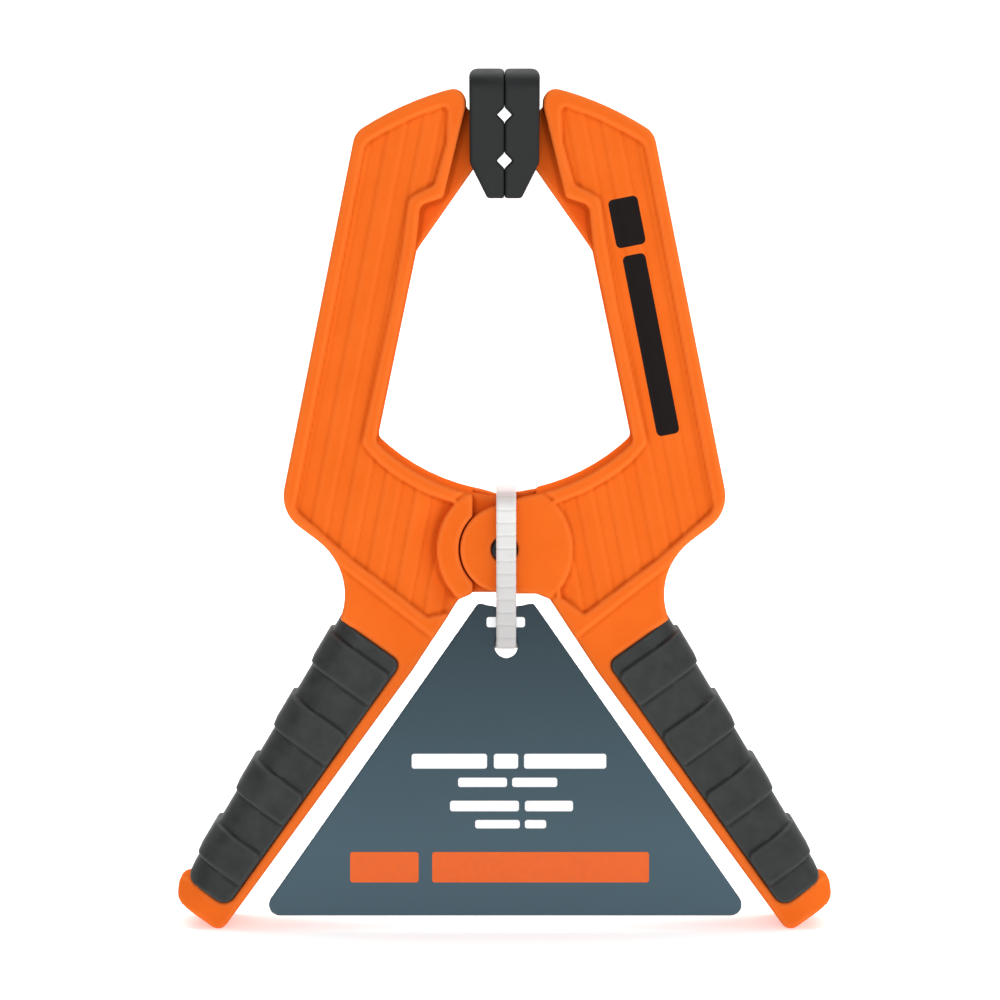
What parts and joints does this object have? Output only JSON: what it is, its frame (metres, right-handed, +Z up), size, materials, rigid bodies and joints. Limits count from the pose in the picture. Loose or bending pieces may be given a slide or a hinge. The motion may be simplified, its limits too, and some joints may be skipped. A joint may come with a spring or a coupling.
{
  "type": "spring clamp",
  "caption": "Hand spring clamp with moulded arms, swivelling grooved jaw pads, rubber handle grips, a torsion spring at the pivot, and a blank hang tag on a cable tie.",
  "frame": {"origin": "on the floor under the pivot, midway between the two handle ends", "axes": "+Z up from the handle ends to the jaws; +X to the right and -Y towards the viewer, who faces the side that carries the tag; the pivot axis runs along Y"},
  "size_m": [0.1548, 0.0332, 0.2027],
  "materials": {
    "arm_nylon": "fine moulded texture, satin",
    "grip_rubber": "matte rubber",
    "pad_plastic": "soft satin",
    "pin_steel": "bright zinc",
    "dark_steel": "black oxide",
    "spool_nylon": "natural nylon",
    "spring_steel": "drawn spring wire",
    "tie_nylon": "natural white nylon",
    "tag_card": "printed card, satin"
  },
  "bodies": {
    "pivot": {"pivot_pin": "dark_steel", "pin_washer": "pin_steel", "spring_spool": "spool_nylon", "torsion_spring": "spring_steel", "cable_tie": "tie_nylon"},
    "left_arm": {"left_arm_body": "arm_nylon", "left_grip": "grip_rubber", "left_pad_pin": "pin_steel"},
    "right_arm": {"right_arm_body": "arm_nylon", "right_grip": "grip_rubber", "right_pad_pin": "pin_steel"},
    "left_pad": {"left_jaw_pad": "pad_plastic"},
    "right_pad": {"right_jaw_pad": "pad_plastic"},
    "tag": {"hang_tag": "tag_card"}
  },
  "joints": [
    {"name": "left_arm_swing", "type": "hinge", "parent": "pivot", "child": "left_arm", "pos_m": [0, 0, 0.08996], "axis": [0, -1, 0], "range_deg": [0, 24], "stiffness_Nm_per_rad": 8.4, "springref_deg": -7.16, "deforming": ["torsion_spring"]},
    {"name": "right_arm_swing", "type": "hinge", "parent": "pivot", "child": "right_arm", "pos_m": [0, 0, 0.08996], "axis": [0, 1, 0], "range_deg": [0, 24], "stiffness_Nm_per_rad": 8.4, "springref_deg": -7.16},
    {"name": "left_pad_swivel", "type": "hinge", "parent": "left_arm", "child": "left_pad", "pos_m": [-0.0052, 0, 0.18646], "axis": [0, 1, 0], "range_deg": [0, 24]},
    {"name": "right_pad_swivel", "type": "hinge", "parent": "right_arm", "child": "right_pad", "pos_m": [0.0052, 0, 0.18646], "axis": [0, -1, 0], "range_deg": [0, 24]},
    {"name": "tag_swing", "type": "hinge", "parent": "pivot", "child": "tag", "pos_m": [0.0004, -0.01495, 0.06731], "axis": [0, 1, 0], "range_deg": [-30, 30]}
  ],
  "couplings": [
    {"joint": "right_arm_swing", "follows": "left_arm_swing", "ratio": 1},
    {"joint": "left_pad_swivel", "follows": "left_arm_swing", "ratio": 1},
    {"joint": "right_pad_swivel", "follows": "left_arm_swing", "ratio": 1}
  ]
}
